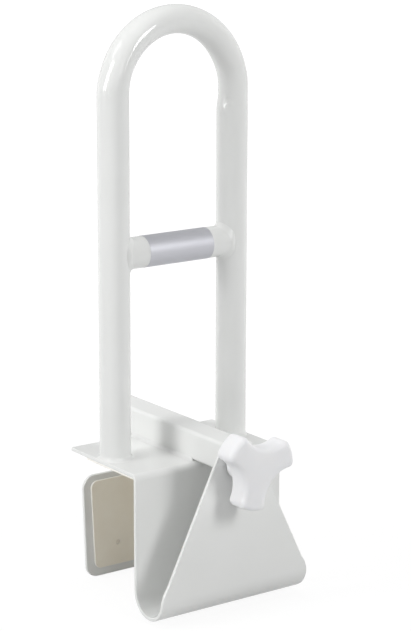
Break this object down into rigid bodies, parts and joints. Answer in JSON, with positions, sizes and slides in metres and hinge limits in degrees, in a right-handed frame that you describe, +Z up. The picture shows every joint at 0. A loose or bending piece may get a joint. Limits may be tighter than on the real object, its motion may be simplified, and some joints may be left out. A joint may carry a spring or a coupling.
{
  "type": "bathtub safety rail",
  "caption": "Hoop grab handle with a cross bar on a folded bracket that clamps over the wall of a bathtub with a screw-driven jaw and a lobed knob.",
  "frame": {"origin": "on the tub's rim: the middle of the rim pad's lower face below the handle's plane", "axes": "+Z up along the handle's legs, -Z onto the rim, -Y to the outside of the tub where the knob is, +Y into the tub, X along the rim"},
  "size_m": [0.144, 0.2013, 0.4794],
  "materials": {
    "enamel": "white gloss powder coat on steel",
    "knob_plastic": "white moulded plastic, soft gloss",
    "pad_rubber": "cream rubber, matt",
    "rivet": "cream nylon",
    "foil": "plain silver foil",
    "zinc_steel": "zinc-plated steel",
    "dark_nylon": "grey nylon",
    "white_nylon": "white nylon",
    "brass": "turned brass"
  },
  "bodies": {
    "frame": {"hoop_tube": "enamel", "cross_bar": "enamel", "cross_bar_weld_left": "enamel", "cross_bar_weld_right": "enamel", "leg_weld_left": "enamel", "leg_weld_right": "enamel", "bracket": "enamel", "guide_tube": "enamel", "guide_weld_left": "enamel", "guide_weld_right": "enamel", "front_weld_left": "enamel", "front_weld_right": "enamel", "label": "foil", "rim_pad": "pad_rubber", "fixed_jaw_pad": "pad_rubber", "fixed_pad_rivet_left": "rivet", "fixed_pad_rivet_right": "rivet", "front_bush": "dark_nylon"},
    "jaw": {"slide_tube": "enamel", "drive_nut": "zinc_steel", "slide_end_cap": "white_nylon", "moving_jaw": "enamel", "jaw_gusset": "enamel", "moving_jaw_pad": "pad_rubber", "moving_pad_rivet_left": "rivet", "moving_pad_rivet_right": "rivet"},
    "knob": {"threaded_rod": "zinc_steel", "retaining_collar": "zinc_steel", "collar_pin": "zinc_steel", "thrust_washer": "zinc_steel", "knob": "knob_plastic", "knob_insert": "brass"}
  },
  "joints": [
    {"name": "knob_turn", "type": "hinge", "parent": "frame", "child": "knob", "pos_m": [0, -0.0871, 0.0143], "axis": [0, -1, 0], "range_deg": [-576, 17280]},
    {"name": "jaw_slide", "type": "slide", "parent": "frame", "child": "jaw", "axis": [0, 1, 0], "range_m": [-0.002, 0.06]}
  ],
  "couplings": [
    {"joint": "knob_turn", "follows": "jaw_slide", "rad_per_m": 5026.5}
  ]
}
